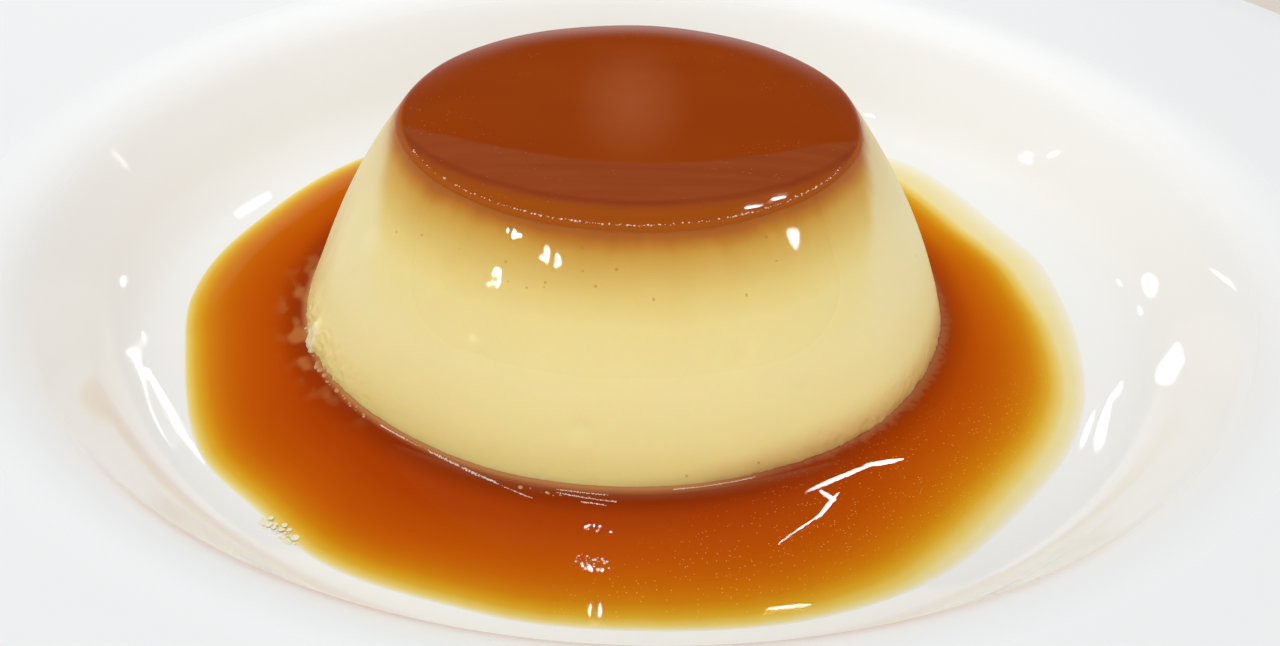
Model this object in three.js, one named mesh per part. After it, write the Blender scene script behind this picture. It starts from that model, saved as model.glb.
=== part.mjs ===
// A creme caramel turned out of its mould into the well of a deep plate, standing in its own caramel sauce.
// Millimetres, +Z up. The origin is the middle of the plate's foot ring, on the surface that it stands on.
// Four pieces: the plate, the custard, the caramel layer that runs through its top, and the pool of sauce.

import * as THREE from "three";

// Plate
const PLATE_RADIUS = 125;
const FLOOR_TOP = 8;
const FLOOR_UNDERSIDE = 3;
const FLAT_FLOOR_RADIUS = 47;
const FLOOR_EASE = new THREE.Vector2(58, FLOOR_TOP);
const WALL_FOOT = new THREE.Vector2(64.5, 10.4);
const WALL_FOOT_EASE = new THREE.Vector2(67.6, 11.55);
const WALL_START = new THREE.Vector2(70.6, 15.45);
const WALL_END = new THREE.Vector2(75.9, 22.34);
const WELL_EDGE = new THREE.Vector2(79.3, 26.76);
const RIM_START = new THREE.Vector2(85.3, 27.1);
const RIM_TOP = 29.3;
const LIP_HEIGHT = 3.2;
const UNDERSIDE_OUT = 2;
const UNDERSIDE_DOWN = 4.4;
const FOOT_OUTER_RADIUS = 57;
const FOOT_INNER_RADIUS = 52;
const FOOT_TAPER = 1.2;
const PLATE_SIDES = 72;
const CURVE_STEPS = 5;

// Custard, a frustum with bulging sides that stands off the plate's centre
const FLAN_X = -1.8;
const FLAN_Y = 3.1;
const SAUCE_LEVEL = 10.5;
const FLAN_RADIUS_AT_SAUCE = 43;
const FLAN_TOP_RADIUS = 29.4;
const FLAN_RISE = 27;
const STRAIGHT_SHARE = 0.52;
const BASE_ROUNDING = 1.1;
// Each wave of the side's unevenness: its depth, how many a turn, its slant per millimetre up, its phase
const SIDE_WAVES = [
  [0.16, 2, 0, 0.7],
  [0.12, 3, -0.02, 0],
  [0.06, 7, 0.11, 0],
  [0.05, 11, -0.23, 0],
];
const CURD_WAVES = [
  [0.34, 19, 0.9, 0],
  [0.24, 31, -1.3, 0],
];
const CURD_SWELL = 0.35;
const CURD_BAND_HEIGHT = 7;
const CURD_SHARE_ALL_ROUND = 0.12;
const CRUMBLED_LEFT = { middle: 197, spread: 38 };
const CRUMBLED_RIGHT = { middle: -32, spread: 46 };
const CRUMBLED_RIGHT_SHARE = 0.7;
const CUSTARD_SIDES = 84;
const CUSTARD_ROWS = 13;

// Caramel layer, slightly crowned, with its outer band sloping to a soft edge
const CARAMEL_THICKNESS = 2;
const CARAMEL_CROWN = 1.1;
const CROWN_START_SHARE = 0.68;
const EDGE_ROUNDING = 0.45;
const CROWN_STEPS = [0.9, 0.83, 0.76, CROWN_START_SHARE, 0.4];
const CARAMEL_SIDES = 72;

// Sauce, a level pool that follows the plate's floor
const POOL_RADIUS = 59.4;
const POOL_SHIFT_X = -0.4;
const POOL_SHIFT_Y = -2;
const POOL_LOBES = [
  [-0.43, 2, 0, 0.38],
  [0.72, 3, 0, -0.5],
];
const SAUCE_CLIMB = 0.7;
const SAUCE_CLIMB_REACH = 0.9;
const SAUCE_TIP = 0.2;
const TAPER_REACH = 5;
const FILM_EXTRA_REACH = 4;
const FILM_SIDE = { middle: 8, spread: 60 };
const SAUCE_SIDES = 84;
const SAUCE_SURFACE_STEPS = [0, 0.03, 0.09, 0.25, 0.5, 0.7, 0.82, 0.92, 1];
const SAUCE_UNDERSIDE_STEPS = [0, 0.3, 0.6, 0.85, 1];
const GAP = 0.3;

// 1 at the middle of a stretch round the flan and 0 beyond its spread, both in degrees, along a half wave.
function zone(angle, { middle, spread }) {
  const turned = THREE.MathUtils.euclideanModulo(THREE.MathUtils.radToDeg(angle) - middle + 180, 360) - 180;
  return Math.abs(turned) < spread ? 0.5 + 0.5 * Math.cos((Math.PI * turned) / spread) : 0;
}

function sumOfWaves(waves, angle, height) {
  let sum = 0;
  for (const [depth, turns, slant, phase] of waves) {
    sum += depth * Math.sin(turns * angle + slant * height + phase);
  }
  return sum;
}

// Radius of the flan's side at a height, before its unevenness. It narrows ever faster towards the top.
function sideRadius(height) {
  const share = (height - SAUCE_LEVEL) / FLAN_RISE;
  const narrowing = STRAIGHT_SHARE * share + (1 - STRAIGHT_SHARE) * share * Math.abs(share);
  return FLAN_RADIUS_AT_SAUCE - (FLAN_RADIUS_AT_SAUCE - FLAN_TOP_RADIUS) * narrowing;
}

// How far the side stands out or in: slow waves all round, and curds that crumbled along the foot.
function sideRelief(angle, height) {
  const curdTop = SAUCE_LEVEL + CURD_BAND_HEIGHT;
  const nearFoot = THREE.MathUtils.smoothstep(curdTop - height, 0, CURD_BAND_HEIGHT);
  const crumbled = zone(angle, CRUMBLED_LEFT) + CRUMBLED_RIGHT_SHARE * zone(angle, CRUMBLED_RIGHT);
  const curdShare = THREE.MathUtils.lerp(CURD_SHARE_ALL_ROUND, 1, crumbled);
  const curds = CURD_SWELL + sumOfWaves(CURD_WAVES, angle, height);
  return sumOfWaves(SIDE_WAVES, angle, height) + nearFoot * curdShare * curds;
}

// Radius of the uneven side about the flan's own axis.
function flanRadius(angle, height) {
  return sideRadius(height) + sideRelief(angle, height);
}

// Distance of the pool's edge from the plate's axis.
function poolRadius(angle) {
  const shifted = POOL_RADIUS + POOL_SHIFT_X * Math.cos(angle) + POOL_SHIFT_Y * Math.sin(angle);
  return shifted + sumOfWaves(POOL_LOBES, angle, 0);
}

// An outline of (radius, height) points turned about the Z axis. Each of its points is then moved to
// shape(angle, radius, height), a THREE.Vector3.
function turned(outline, sides, shape) {
  const geometry = new THREE.LatheGeometry(outline, sides);
  geometry.rotateX(Math.PI / 2);
  const position = geometry.attributes.position;
  for (let index = 0; index < position.count; index += 1) {
    const x = position.getX(index);
    const y = position.getY(index);
    const moved = shape(Math.atan2(y, x), Math.hypot(x, y), position.getZ(index));
    position.setXYZ(index, moved.x, moved.y, moved.z);
  }
  geometry.computeVertexNormals();
  return geometry;
}

function polar(angle, radius, height) {
  return new THREE.Vector3(radius * Math.cos(angle), radius * Math.sin(angle), height);
}

// Upper face of the plate from its axis to the top of its lip.
function plateUpperSide() {
  const path = new THREE.Path();
  path.moveTo(0, FLOOR_TOP);
  path.lineTo(FLAT_FLOOR_RADIUS, FLOOR_TOP);
  path.quadraticCurveTo(FLOOR_EASE.x, FLOOR_EASE.y, WALL_FOOT.x, WALL_FOOT.y);
  path.quadraticCurveTo(WALL_FOOT_EASE.x, WALL_FOOT_EASE.y, WALL_START.x, WALL_START.y);
  path.lineTo(WALL_END.x, WALL_END.y);
  path.quadraticCurveTo(WELL_EDGE.x, WELL_EDGE.y, RIM_START.x, RIM_START.y);
  path.lineTo(PLATE_RADIUS - LIP_HEIGHT / 2, RIM_TOP);
  return path;
}

// Height of the plate's upper face at a distance from its axis.
const upperSide = plateUpperSide().getPoints(CURVE_STEPS);
function plateHeight(radius) {
  const outer = upperSide.findIndex((point) => point.x >= radius);
  if (outer <= 0) return FLOOR_TOP;
  const start = upperSide[outer - 1];
  const end = upperSide[outer];
  return THREE.MathUtils.mapLinear(radius, start.x, end.x, start.y, end.y);
}

function plateOutline() {
  const lip = new THREE.Path();
  const lipBottom = RIM_TOP - LIP_HEIGHT;
  lip.moveTo(PLATE_RADIUS - LIP_HEIGHT / 2, RIM_TOP);
  lip.quadraticCurveTo(PLATE_RADIUS, RIM_TOP, PLATE_RADIUS, RIM_TOP - LIP_HEIGHT / 2);
  lip.quadraticCurveTo(PLATE_RADIUS, lipBottom, PLATE_RADIUS - LIP_HEIGHT, lipBottom);
  const [rim, edge, wallEnd, wallStart, foot] = [RIM_START, WELL_EDGE, WALL_END, WALL_START, WALL_FOOT].map(
    (point) => new THREE.Vector2(point.x + UNDERSIDE_OUT, point.y - UNDERSIDE_DOWN),
  );
  lip.lineTo(rim.x, rim.y);
  lip.quadraticCurveTo(edge.x, edge.y, wallEnd.x, wallEnd.y);
  lip.lineTo(wallStart.x, wallStart.y);
  lip.quadraticCurveTo(foot.x, foot.y, FOOT_OUTER_RADIUS + FOOT_TAPER, FLOOR_UNDERSIDE);
  lip.lineTo(FOOT_OUTER_RADIUS, 0);
  lip.lineTo(FOOT_INNER_RADIUS, 0);
  lip.lineTo(FOOT_INNER_RADIUS - FOOT_TAPER, FLOOR_UNDERSIDE);
  lip.lineTo(0, FLOOR_UNDERSIDE);
  const underside = lip.getPoints(CURVE_STEPS - 1).slice(1);
  return [...upperSide, ...underside].reverse();
}

// The custard: flat on the plate's floor, rounded at its foot, flat where the caramel layer lies on it.
function custardGeometry() {
  const custardTop = SAUCE_LEVEL + FLAN_RISE - CARAMEL_THICKNESS;
  const outline = [new THREE.Vector2(0, FLOOR_TOP)];
  outline.push(new THREE.Vector2(sideRadius(FLOOR_TOP) - BASE_ROUNDING, FLOOR_TOP));
  for (let row = 0; row <= CUSTARD_ROWS; row += 1) {
    const height = THREE.MathUtils.lerp(FLOOR_TOP + BASE_ROUNDING, custardTop, (row / CUSTARD_ROWS) ** 1.15);
    outline.push(new THREE.Vector2(sideRadius(height), height));
  }
  outline.push(new THREE.Vector2(0, custardTop));
  return turned(outline, CUSTARD_SIDES, flanShape);
}

// A point of the flan, moved out by the side's relief in proportion to its distance from the axis.
function flanShape(angle, radius, height) {
  const share = radius / sideRadius(height);
  return polar(angle, radius + share * sideRelief(angle, height), height);
}

// The caramel layer carries the custard's side on to a rounded edge, then rises to its crown.
function caramelGeometry() {
  const bottom = SAUCE_LEVEL + FLAN_RISE - CARAMEL_THICKNESS;
  const edge = SAUCE_LEVEL + FLAN_RISE;
  const shoulder = edge - EDGE_ROUNDING;
  const outline = [new THREE.Vector2(0, bottom), new THREE.Vector2(sideRadius(bottom), bottom)];
  outline.push(new THREE.Vector2(sideRadius(shoulder), shoulder));
  const roundingEnd = FLAN_TOP_RADIUS - 2 * EDGE_ROUNDING;
  const rounding = new THREE.QuadraticBezierCurve(
    new THREE.Vector2(sideRadius(shoulder), shoulder),
    new THREE.Vector2(FLAN_TOP_RADIUS, edge),
    new THREE.Vector2(roundingEnd, crownHeight(roundingEnd)),
  );
  outline.push(...rounding.getPoints(3).slice(1));
  for (const share of CROWN_STEPS) {
    const radius = FLAN_TOP_RADIUS * share;
    outline.push(new THREE.Vector2(radius, crownHeight(radius)));
  }
  outline.push(new THREE.Vector2(0, crownHeight(0)));
  return turned(outline, CARAMEL_SIDES, flanShape);
}

// Height of the caramel's top: level in the middle, falling along a parabola to the edge.
function crownHeight(radius) {
  const crownStart = CROWN_START_SHARE * FLAN_TOP_RADIUS;
  const share = Math.max(0, radius - crownStart) / (FLAN_TOP_RADIUS - crownStart);
  return SAUCE_LEVEL + FLAN_RISE + CARAMEL_CROWN * (1 - share * share);
}

// Height of the sauce's surface, from the distances to the flan and to the pool's edge. It climbs the flan a
// little, lies level, and thins out to its edge, over a longer stretch where a film is left on the right.
function sauceHeight(angle, fromFlan, toEdge, tipHeight) {
  const climb = SAUCE_CLIMB * Math.exp(-fromFlan / SAUCE_CLIMB_REACH);
  const reach = TAPER_REACH + FILM_EXTRA_REACH * zone(angle, FILM_SIDE);
  const thinning = (1 - Math.min(toEdge / reach, 1)) ** 2;
  return SAUCE_LEVEL + climb - (SAUCE_LEVEL - tipHeight) * thinning;
}

// The sauce is drawn as a ring one unit wide, its underside at height 0 and its surface at height 1. Each
// point is then set between the flan's side and the pool's edge, on the plate's floor or on the surface.
function sauceGeometry() {
  const underside = SAUCE_UNDERSIDE_STEPS.map((step) => new THREE.Vector2(1 + step, 0));
  const surface = SAUCE_SURFACE_STEPS.map((step) => new THREE.Vector2(1 + step, 1)).reverse();
  return turned([...underside, ...surface, underside[0].clone()], SAUCE_SIDES, sauceShape);
}

function sauceShape(angle, radius, side) {
  const isSurface = side > 0.5;
  const flanSide = flanRadius(angle, isSurface ? SAUCE_LEVEL : FLOOR_TOP) + GAP;
  const inner = polar(angle, flanSide, 0).add(new THREE.Vector3(FLAN_X, FLAN_Y, 0));
  const outer = polar(angle, poolRadius(angle), 0);
  const point = inner.clone().lerp(outer, radius - 1);
  const tip = plateHeight(outer.length()) + GAP + SAUCE_TIP;
  const surfaceHeight = sauceHeight(angle, point.distanceTo(inner), point.distanceTo(outer), tip);
  point.z = isSurface ? surfaceHeight : plateHeight(point.length()) + GAP;
  return point;
}

function piece(name, geometry, color, roughness) {
  const material = new THREE.MeshStandardMaterial({ color, roughness, metalness: 0 });
  const mesh = new THREE.Mesh(geometry, material);
  mesh.name = name;
  return mesh;
}

const dessert = new THREE.Group();
dessert.add(piece("plate", turned(plateOutline(), PLATE_SIDES, polar), 0xf1f3f1, 0.12));
dessert.add(piece("sauce", sauceGeometry(), 0xb45a0a, 0.08));

const flan = new THREE.Group();
flan.position.set(FLAN_X, FLAN_Y, 0);
flan.add(piece("custard", custardGeometry(), 0xe8d591, 0.3));
flan.add(piece("caramel_top", caramelGeometry(), 0x8f3c0c, 0.12));
dessert.add(flan);

export default dessert;
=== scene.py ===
# A creme caramel turned out into the well of a deep white plate, standing in its caramel sauce.
# Sizes are in millimetres until a mesh is made of them. Angles in the tables are in degrees, round
# the flan or the plate from +X on the right towards +Y at the back.

import math

import bpy
import numpy as np
from mathutils import Matrix, Vector, noise


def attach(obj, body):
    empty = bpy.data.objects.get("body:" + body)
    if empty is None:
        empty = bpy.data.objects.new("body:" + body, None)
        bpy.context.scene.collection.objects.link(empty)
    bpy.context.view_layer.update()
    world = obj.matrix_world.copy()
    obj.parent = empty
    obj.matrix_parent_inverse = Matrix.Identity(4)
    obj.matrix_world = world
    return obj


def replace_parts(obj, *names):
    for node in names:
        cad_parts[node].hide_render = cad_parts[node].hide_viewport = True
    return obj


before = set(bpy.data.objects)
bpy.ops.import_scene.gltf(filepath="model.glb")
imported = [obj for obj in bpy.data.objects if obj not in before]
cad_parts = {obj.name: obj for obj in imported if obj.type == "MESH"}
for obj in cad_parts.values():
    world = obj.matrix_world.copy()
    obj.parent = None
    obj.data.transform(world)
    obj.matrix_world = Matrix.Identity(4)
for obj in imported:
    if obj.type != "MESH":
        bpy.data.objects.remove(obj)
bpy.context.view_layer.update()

MM = 0.001

# Plate
PLATE_RADIUS = 125
FLOOR_TOP = 8
FLOOR_UNDERSIDE = 3
FLAT_FLOOR_RADIUS = 47
FLOOR_EASE = (58, FLOOR_TOP)
WALL_FOOT = (64.5, 10.4)
WALL_FOOT_EASE = (67.6, 11.55)
WALL_START = (70.6, 15.45)
WALL_END = (75.9, 22.34)
WELL_EDGE = (79.3, 26.76)
RIM_START = (85.3, 27.1)
RIM_TOP = 29.3
LIP_HEIGHT = 3.2
UNDERSIDE_OUT = 2
UNDERSIDE_DOWN = 4.4
FOOT_OUTER_RADIUS = 57
FOOT_INNER_RADIUS = 52
FOOT_TAPER = 1.2
FOOT_CHAMFER = (0.4, 0.3)
PLATE_SIDES = 360
ARC_STEPS = 16

# Flan
FLAN_X = -1.8
FLAN_Y = 3.1
SAUCE_LEVEL = 10.5
FLAN_RADIUS_AT_SAUCE = 43
FLAN_TOP_RADIUS = 29.4
FLAN_RISE = 27
STRAIGHT_SHARE = 0.52
BASE_ROUNDING = 1.1
# Waves of its side: depth, how many go round, how they slant and where they start
SIDE_WAVES = [(0.16, 2, 0, 0.7), (0.12, 3, -0.02, 0), (0.06, 7, 0.11, 0), (0.05, 11, -0.23, 0)]
CURD_BAND_HEIGHT = 7
CURD_SWELL = 0.25
# Its curds: size and depth
CURD_SIZES = [(3, 0.2), (1.4, 0.24), (0.7, 0.17)]
LUMP_SHARPNESS = 2.4
CURD_SHARE_ALL_ROUND = 0.1
CRUMBLED_LEFT = (199, 30)
CRUMBLED_RIGHT = (-38, 50)
CRUMBLED_RIGHT_SHARE = 0.45
DENT_DEPTH = 0.22
DENT_WIDTH = 2.2
DENT_FLATTENING = 1.4
DENTS = [(-94, 29), (-96, 17.5), (-69, 24), (-116, 23), (-128, 30), (-83, 33), (-58, 19)]
FLAKE = (-157.5, 11.9)
FLAKE_SIZE = (1.5, 2.7, 0.65)
FLAKE_SLOPE = (-1.3, -0.5)
CUSTARD_ROWS = 118
BASE_ROUNDING_ROWS = 4
CARAMEL_SUNK_ROWS = 5
EDGE_ROUNDING_ROWS = 8
CROWN_SLOPE_ROWS = 26
CROWN_LEVEL_ROWS = 12
CARAMEL_THICKNESS = 2
CARAMEL_CROWN = 1.1
CROWN_START_SHARE = 0.68
EDGE_ROUNDING = 0.32
CARAMEL_EDGE = SAUCE_LEVEL + FLAN_RISE
CARAMEL_BOTTOM = CARAMEL_EDGE - CARAMEL_THICKNESS
CARAMEL_INSET = 0.5
CARAMEL_OVERLAP = 0.2
FLAN_FOOT = (FLAN_X * MM, FLAN_Y * MM, 0)
CUSTARD_BELOW_EDGE = 0.5
CUSTARD_TOP = CARAMEL_EDGE - CUSTARD_BELOW_EDGE

# Sauce
POOL_RADIUS = 59.7
POOL_SHIFT = (-0.4, -2)
POOL_LOBES = [(0.81, 2, 0, 1.38), (0.72, 3, 0, -0.5), (0.07, 17, 0, 0)]
# Where the pool's edge swells out or draws in: middle, spread and how far
POOL_BULGES = [
    (44, 34, 4), (32, 22, -1.5), (16, 12, 0.9), (136, 26, 2.8), (164, 22, 0.4),
    (-172, 16, 0.2), (-166, 14, -1), (-144, 14, 1), (-122, 18, 1.4),
    (-88, 16, -0.4), (-64, 20, 0.8), (-40, 14, -0.5), (-24, 14, 0.3),
]
SAUCE_CLIMB = 0.45
SAUCE_CLIMB_REACH = 1.1
SAUCE_TIP = 0.01
TAPER_REACH = 7
FILM_EXTRA_REACH = 4
FILM_SIDE = (8, 60)
SAUCE_INSET = 0.8
SAUCE_SUNK = 0.03
# Its rows of points, as shares of the way from the flan: sparse between these two, and underneath
OPEN_SAUCE = (0.24, 0.62)
NEAR_FLAN_ROWS = 26
OPEN_SAUCE_ROWS = 12
NEAR_EDGE_ROWS = 34
EDGE_CROWDING = 1.7
UNDERSIDE_ROWS = (1, 0.95, 0.85, 0.7, 0.5, 0.3, 0.1, 0)
# The thin film at its edge: middle, spread and width of each, and how deep the sauce looks past it
FILM_WIDTHS = [(-22, 76, 2.3), (40, 62, 6.2)]
FULL_FILM_WIDTH = 1.4
LEAST_FILM_WIDTH = 0.1
FILM_DEPTH = 0.42
FILM_SLOPE = 0.6
BEYOND_FILM = [(0, 0), (1.1, 0.45), (2.3, 1.2), (3.4, 2.1), (5, 3.5), (7, 5.2)]
STEEP_EDGE = (176, 50)
STEEP_EDGE_LEAD = 0.35
DEEP_SIDE = (-132, 56)
DEEP_EXTRA = 2.8
DEEP_RANGE = (2, 9)
STREAKS_ROUND = 24
STREAK_LENGTH = 9
STREAK_DEPTH = 0.07
STREAK_DEPTH_IN_FILM = 0.03
STREAK_REACH = 1.5
SUNK_LEFT = (196, 34)
SUNK_LEFT_REACH = 5.2
SUNK_LEFT_FADING = 3.5
SUNK_CRUMB_SIZES = (1.9, 0.7)
SUNK_CRUMB_DETAIL = 0.15
SUNK_CRUMB_SQUASH = [1, 0.6, 0]
SUNK_CRUMB_EDGE = (-0.1, 0.5)
SUNK_RIGHT = (-28, 46)
SUNK_RIGHT_REACH = 2.2
SUNK_RIGHT_FADING = 1.6

ROUND_SIDES = 720
SHARP_ANGLE = math.radians(60)
ALL_ROUND = np.linspace(0, 2 * np.pi, ROUND_SIDES, endpoint=False)[None, :]
FLAN_MIDDLE = np.array([FLAN_X, FLAN_Y, 0])

# Grains
GRAIN_LUMP_SIZE = 0.6
GRAIN_LEAST_WIDTH = 0.6
GRAIN_TURN_RANGE = 6.28
GRAIN_PATH_POINTS = 60
# Each row runs along an arc round the flan: from and to degrees, radius there and there, height,
# how many, smallest, largest, how far they scatter, how flat they are and how uneven
# Beads along the caramel's edge, near white: real beads whose colour also paints the edge's glints as a
# dotted line.
LIP_BUBBLES_AND_GLINTS = [
    (-158, -28, 29.05, 29.05, 37.5, 190, 0.06, 0.18, (0.12, 0.12, 0.06), 0.2, 0),
    (-140, -60, 29.05, 29.05, 37.5, 110, 0.08, 0.2, (0.12, 0.12, 0.08), 0.2, 0),
    (-47, -37.5, 29, 29.1, 37.55, 6, 0.1, 0.22, (0.1, 0.1, 0.03), 0.2, 0),
]
# Froth at the waterline and before the flan, near white: real froth whose colour also paints the glints on
# the meniscus and ripples.
WATERLINE_FROTH_AND_GLINTS = [
    (-131.5, -126, 43.55, 43.45, 10.78, 70, 0.07, 0.13, (0.04, 0.04, 0.02), 0.1, 0),
    (-126, -122, 43.45, 43.4, 10.76, 24, 0.04, 0.12, (0.12, 0.12, 0.03), 0.1, 0),
    (-121, -115, 43.45, 43.95, 10.73, 110, 0.06, 0.15, (0.1, 0.1, 0.03), 0.1, 0),
    (-114.5, -108, 44, 44.8, 10.68, 120, 0.06, 0.14, (0.12, 0.12, 0.03), 0.1, 0),
    (-108, -102, 44.8, 46, 10.54, 80, 0.05, 0.1, (0.05, 0.05, 0.02), 0.1, 0),
    (-98.9, -91.3, 44, 44.15, 10.69, 70, 0.05, 0.11, (0.05, 0.05, 0.02), 0.1, 0),
    (-98.9, -90, 44.45, 45.2, 10.6, 80, 0.06, 0.12, (0.05, 0.05, 0.02), 0.1, 0),
    (-95, -91.4, 45.5, 45.8, 10.53, 40, 0.06, 0.14, (0.06, 0.06, 0.02), 0.1, 0),
    (-81.5, -68.3, 43.45, 43.3, 10.82, 140, 0.05, 0.1, (0.04, 0.04, 0.02), 0.1, 0),
    (-94.5, -90.5, 54.9, 55.3, 10.5, 40, 0.06, 0.2, (0.3, 0.9, 0), 0.4, 0),
]
CUSTARD_CRUMBS = [
    (190, 222, 43.3, 43.3, 10.6, 30, 0.1, 0.6, (0.3, 0.3, 0.2), 0.35, 0.35),
    (-104, -94, 44.6, 44.6, 10.55, 9, 0.08, 0.22, (0.5, 0.4, 0.02), 0.5, 0.2),
]
AMBER_DROPS = [
    (202, 214, 43.9, 43.8, 10.7, 12, 0.15, 0.6, (0.35, 0.35, 0.05), 0.3, 0.3),
    (214, 226, 43.8, 43.7, 10.72, 16, 0.1, 0.4, (0.3, 0.3, 0.05), 0.3, 0.3),
    (-104, -98, 44.8, 44.8, 10.5, 6, 0.2, 0.5, (0.4, 0.4, 0.02), 0.4, 0.2),
]
SPLASHES = [
    (-137, -133.5, 62.4, 62.4, 9.4, 7, 0.1, 0.3, (0.5, 0.5, 0.02), 0.7, 0.1),
    (-128.5, -124, 63.1, 63.1, 9.75, 44, 0.12, 0.6, (0.9, 0.9, 0.02), 0.8, 0.05),
    (-120.4, -119.6, 62.6, 62.6, 9.5, 2, 0.3, 0.5, (0.1, 0.1, 0), 0.4, 0.05),
]


def srgb(red, green, blue):
    """A colour given from 0 to 255, as Blender's linear RGBA."""
    shares = [value / 255 for value in (red, green, blue)]
    linear = [s / 12.92 if s <= 0.04045 else ((s + 0.055) / 1.055) ** 2.4 for s in shares]
    return (*linear, 1.0)


# ---------------------------------------------------------------- node trees


class Signal:
    """What comes out of a socket. Sums and products of signals add Math nodes to their tree."""

    def __init__(self, tree, socket):
        self.tree = tree
        self.socket = socket

    def math(self, operation, first, second, clamp=False):
        settings = {"operation": operation, "use_clamp": clamp}
        return self.tree.node("ShaderNodeMath", settings, {0: first, 1: second})

    def __add__(self, other):
        return self.math("ADD", self, other)

    __radd__ = __add__

    def __sub__(self, other):
        return self.math("SUBTRACT", self, other)

    def __rsub__(self, other):
        return self.math("SUBTRACT", other, self)

    def __mul__(self, other):
        return self.math("MULTIPLY", self, other)

    __rmul__ = __mul__

    def __truediv__(self, other):
        return self.math("DIVIDE", self, other)

    def __rtruediv__(self, other):
        return self.math("DIVIDE", other, self)

    def __pow__(self, other):
        return self.math("POWER", self, other)

    def __gt__(self, other):
        return self.math("GREATER_THAN", self, other)

    def share_of(self, whole):
        """How much of `whole` this is, from 0 to 1."""
        return self.math("DIVIDE", self, whole, clamp=True)

    def function(self, operation):
        """What a Math node of one input makes of this, such as its sine."""
        return self.tree.node("ShaderNodeMath", {"operation": operation}, {0: self})

    def output(self, name):
        """Another output of the same node."""
        return Signal(self.tree, self.socket.node.outputs[name])


class Tree:
    """Adds nodes to a shader, world or geometry tree."""

    def __init__(self, node_tree):
        self.node_tree = node_tree
        node_tree.nodes.clear()

    def node(self, kind, settings=None, inputs=None, output=0):
        node = self.node_tree.nodes.new(kind)
        for name, value in (settings or {}).items():
            if name == "stops":
                self.set_stops(node.color_ramp, value)
            else:
                setattr(node, name, value)
        for key, value in (inputs or {}).items():
            if isinstance(value, Signal):
                self.node_tree.links.new(value.socket, node.inputs[key])
            else:
                node.inputs[key].default_value = value
        return Signal(self, node.outputs[output]) if len(node.outputs) else node

    @staticmethod
    def set_stops(ramp, stops):
        while len(ramp.elements) > 2:
            ramp.elements.remove(ramp.elements[-1])
        while len(ramp.elements) < len(stops):
            ramp.elements.new(1.0)
        for element, (position, color) in zip(ramp.elements, stops):
            element.position = position
            element.color = color

    def vector(self, operation, first, second=None, output="Vector"):
        inputs = {0: first} if second is None else {0: first, 1: second}
        return self.node("ShaderNodeVectorMath", {"operation": operation}, inputs, output)

    def axis(self, vector, name):
        """One coordinate of a vector. The others are its other outputs."""
        return self.node("ShaderNodeSeparateXYZ", None, {0: vector}, name)

    def random(self, low, high, seed):
        """A number for each point of a geometry."""
        inputs = {2: low, 3: high, "Seed": seed}
        return self.node("FunctionNodeRandomValue", {"data_type": "FLOAT"}, inputs, 1)

    def place(self):
        """Object coordinates, in metres."""
        return self.node("ShaderNodeTexCoord", output="Object")

    def attribute(self, name):
        return self.node("ShaderNodeAttribute", {"attribute_name": name}, output="Fac")

    def noise(self, vector, size, detail=2.0):
        """Noise whose features are about `size` millimetres across."""
        inputs = {"Vector": vector, "Scale": 1 / (size * MM), "Detail": detail}
        return self.node("ShaderNodeTexNoise", None, inputs)

    def cells(self, vector, size):
        """Distance to the nearest of random points about `size` millimetres apart, in such steps."""
        inputs = {"Vector": vector, "Scale": 1 / (size * MM)}
        return self.node("ShaderNodeTexVoronoi", {"feature": "F1"}, inputs, "Distance")

    def chance(self, cells):
        """A number from 0 to 1 that is the same all over one cell."""
        return self.node("ShaderNodeSeparateColor", None, {0: cells.output("Color")}, "Red")

    def stretched(self, vector, scale):
        return self.node("ShaderNodeMapping", None, {"Vector": vector, "Scale": scale})

    def graded(self, distance, colors):
        """Colour by a distance in millimetres, from rows of that distance and a colour."""
        reach = colors[-1][0]
        stops = [(far / reach, srgb(*color)) for far, color in colors]
        return self.node("ShaderNodeValToRGB", {"stops": stops}, {"Fac": distance / reach})

    def mix(self, factor, first, second):
        settings = {"data_type": "RGBA", "clamp_factor": True}
        return self.node("ShaderNodeMix", settings, {0: factor, 6: first, 7: second}, output=2)

    def between(self, value, low, high, low_result=0.0, high_result=1.0):
        """Eases from low_result to high_result as value goes from low to high."""
        settings = {"interpolation_type": "SMOOTHSTEP"}
        inputs = {0: value, 1: low, 2: high, 3: low_result, 4: high_result}
        return self.node("ShaderNodeMapRange", settings, inputs)

    def band(self, value, start, full, fading, end, rest=0.0):
        """1 from `full` to `fading`, easing to 0 towards `start` and to `rest` towards `end`."""
        return self.between(value, start, full) * self.between(value, fading, end, 1, rest)

    def bump(self, height, distance, under=None):
        """Relief `distance` millimetres deep."""
        inputs = {"Height": height, "Distance": distance * MM}
        if under is not None:
            inputs["Normal"] = under
        return self.node("ShaderNodeBump", None, inputs, output="Normal")

    def surface(self, inputs):
        shader = self.node("ShaderNodeBsdfPrincipled", None, inputs, output="BSDF")
        self.node("ShaderNodeOutputMaterial", None, {"Surface": shader})


def geometry_tree(name, sizes):
    """A geometry tree with named inputs, and what comes in through them."""
    group = bpy.data.node_groups.new(name, "GeometryNodeTree")
    group.interface.new_socket("Geometry", in_out="INPUT", socket_type="NodeSocketGeometry")
    for label, kind in sizes:
        group.interface.new_socket(label, in_out="INPUT", socket_type=f"NodeSocket{kind}")
    group.interface.new_socket("Geometry", in_out="OUTPUT", socket_type="NodeSocketGeometry")
    tree = Tree(group)
    return group, tree, tree.node("NodeGroupInput")


def new_material(name):
    material = bpy.data.materials.new(name)
    material.use_nodes = True
    return material, Tree(material.node_tree)


# ---------------------------------------------------------------- shapes


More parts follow.
